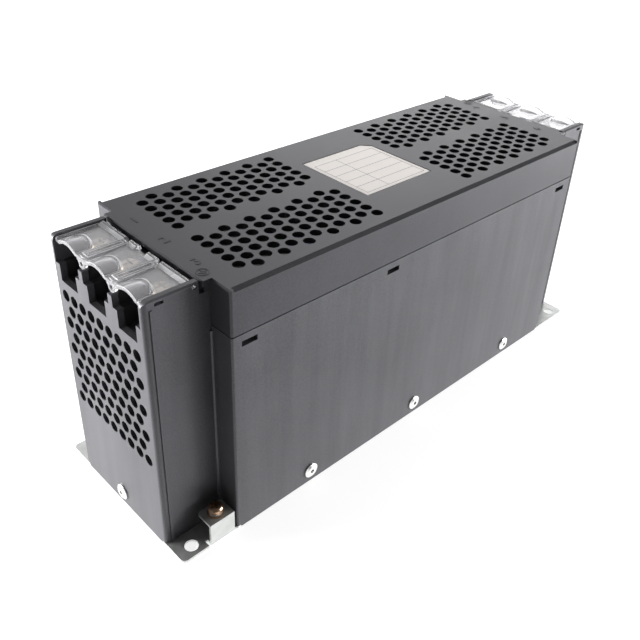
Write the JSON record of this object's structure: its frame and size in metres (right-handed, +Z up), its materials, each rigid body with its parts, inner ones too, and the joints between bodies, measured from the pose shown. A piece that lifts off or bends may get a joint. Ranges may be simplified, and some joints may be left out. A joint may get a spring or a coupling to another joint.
{
  "type": "emi line filter",
  "caption": "Long box-shaped three-phase mains filter on a folded steel base, with a vented dark housing and hinged clear terminal covers.",
  "frame": {"origin": "centre of the underside of the base plate", "axes": "+X along the filter from the line terminals to the load terminals, +Z up"},
  "size_m": [0.3128, 0.1008, 0.1322],
  "materials": {
    "zinc_sheet": "galvanised sheet, matt with faint spangle",
    "film": "thin insulating film",
    "case_plastic": "charcoal moulded plastic, finely textured",
    "lid_plastic": "charcoal moulded plastic, finely textured",
    "label_film": "satin grey film",
    "rivet_metal": "bright rolled aluminium",
    "nickel": "nickel plated, satin",
    "block_plastic": "dark moulded plastic",
    "clear_cover": "clear moulded plastic",
    "tinned_bar": "tin plated copper",
    "brass_screw": "yellow passivated",
    "brass_washer": "yellow passivated",
    "core_coat": "epoxy powder coat",
    "saddle_plastic": "moulded plastic",
    "enamel_wire": "enamelled copper wire",
    "lead_jacket": "silicone rubber jacket",
    "board_laminate": "green solder mask",
    "film_capacitor": "moulded box, satin",
    "earth_capacitor": "moulded box, satin",
    "resistor_body": "lacquered body"
  },
  "bodies": {
    "housing": {"base_plate": "zinc_sheet", "insulation_sheet": "film", "lower_case": "case_plastic", "top_cover": "lid_plastic", "rating_label": "label_film", "side_rivets": "rivet_metal", "end_rivets": "rivet_metal", "earth_screws": "nickel", "earth_spring_washers": "nickel", "earth_washers": "nickel", "line_terminal_block": "block_plastic", "load_terminal_block": "block_plastic", "line_bar_1": "tinned_bar", "line_bar_2": "tinned_bar", "line_bar_3": "tinned_bar", "load_bar_4": "tinned_bar", "load_bar_5": "tinned_bar", "load_bar_6": "tinned_bar", "line_terminal_screws": "brass_screw", "load_terminal_screws": "brass_screw", "line_spring_washers": "brass_washer", "load_spring_washers": "brass_washer", "line_flat_washers": "brass_washer", "load_flat_washers": "brass_washer", "line_choke_core": "core_coat", "load_choke_core": "core_coat", "line_choke_saddle": "saddle_plastic", "load_choke_saddle": "saddle_plastic", "line_winding_1": "enamel_wire", "line_winding_2": "enamel_wire", "line_winding_3": "enamel_wire", "load_winding_1": "enamel_wire", "load_winding_2": "enamel_wire", "load_winding_3": "enamel_wire", "line_leads": "lead_jacket", "load_leads": "lead_jacket", "link_sleeves": "nickel", "capacitor_board": "board_laminate", "board_screws": "nickel", "line_capacitors": "film_capacitor", "middle_capacitors": "film_capacitor", "load_capacitors": "film_capacitor", "earth_capacitors": "earth_capacitor", "discharge_resistors": "resistor_body"},
    "line_cover": {"line_terminal_cover": "clear_cover"},
    "load_cover": {"load_terminal_cover": "clear_cover"}
  },
  "joints": [
    {"name": "line_cover_hinge", "type": "hinge", "parent": "housing", "child": "line_cover", "pos_m": [-0.132, 0, 0.1301], "axis": [0, 1, 0], "range_deg": [0, 110]},
    {"name": "load_cover_hinge", "type": "hinge", "parent": "housing", "child": "load_cover", "pos_m": [0.132, 0, 0.1301], "axis": [0, -1, 0], "range_deg": [0, 110]}
  ]
}
